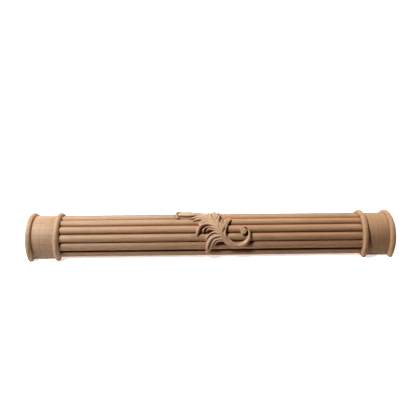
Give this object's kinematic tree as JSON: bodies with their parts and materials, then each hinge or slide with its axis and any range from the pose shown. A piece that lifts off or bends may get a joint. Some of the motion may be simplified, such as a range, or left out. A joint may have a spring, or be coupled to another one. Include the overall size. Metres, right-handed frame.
{
  "type": "half-round column",
  "caption": "Half-round reeded column, flat behind, with a plain neck between two beads at each end and a carved acanthus scroll across its middle.",
  "frame": {"origin": "middle of the flat back, halfway along the column", "axes": "+X along the column, towards the end that the leaf's scroll points to; +Z out of the flat back, up when the column lies on it; +Y across it, away from the leaf's hooked lobes"},
  "size_m": [0.7, 0.102, 0.051],
  "materials": {
    "beech": "sanded, unfinished"
  },
  "bodies": {
    "root": {"half_round_column": "beech"}
  },
  "joints": []
}
